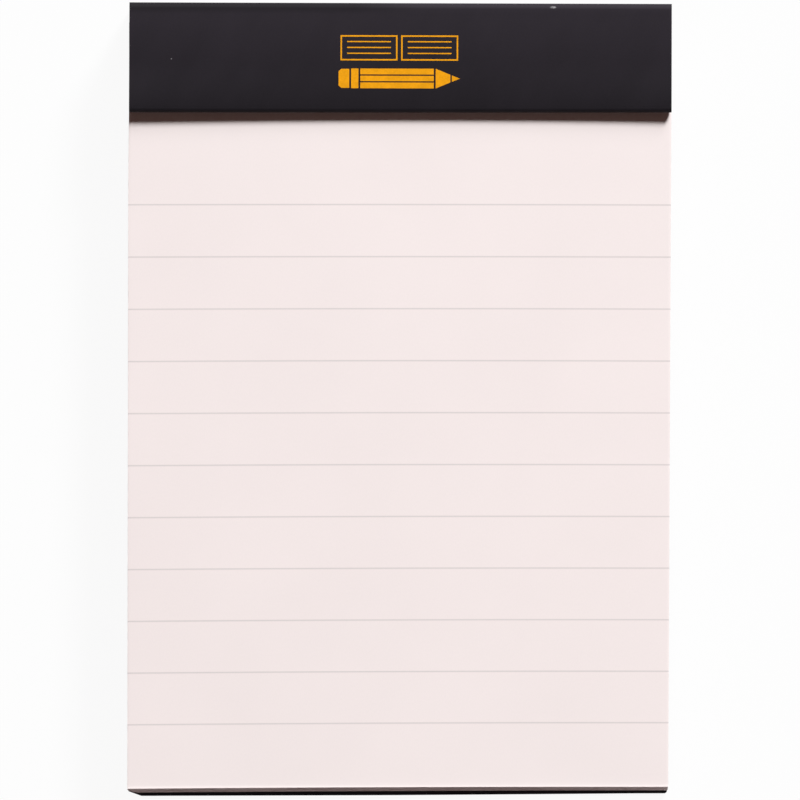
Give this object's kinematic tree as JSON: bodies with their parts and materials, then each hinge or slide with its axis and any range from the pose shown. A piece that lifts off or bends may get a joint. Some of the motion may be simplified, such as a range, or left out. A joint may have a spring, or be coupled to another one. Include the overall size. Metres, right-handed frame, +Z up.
{
  "type": "stapled notepad",
  "caption": "Pocket writing pad of ruled sheets stapled at the head on a backing board; its black card cover folds over the head as a band and swings behind the pad.",
  "frame": {"origin": "middle of the pad's footprint, on the surface that it lies on", "axes": "+X across the pad, +Y along the pad towards its stapled head, +Z up out of the ruled face"},
  "size_m": [0.074, 0.1076, 0.0113],
  "materials": {
    "ruled_paper": "smooth uncoated writing paper, pale warm white with thin grey rules",
    "greyboard": "raw grey board",
    "cover_card": "matte coated card",
    "staple_wire": "bright drawn wire"
  },
  "bodies": {
    "pad": {"cover": "cover_card", "backing_board": "greyboard", "page_block": "ruled_paper", "staple_left": "staple_wire", "staple_right": "staple_wire"},
    "cover_flap": {"cover_flap": "cover_card"}
  },
  "joints": [
    {"name": "cover_hinge", "type": "hinge", "parent": "pad", "child": "cover_flap", "pos_m": [0, 0.05362, 0.00017], "axis": [1, 0, 0], "range_deg": [0, 180]}
  ]
}
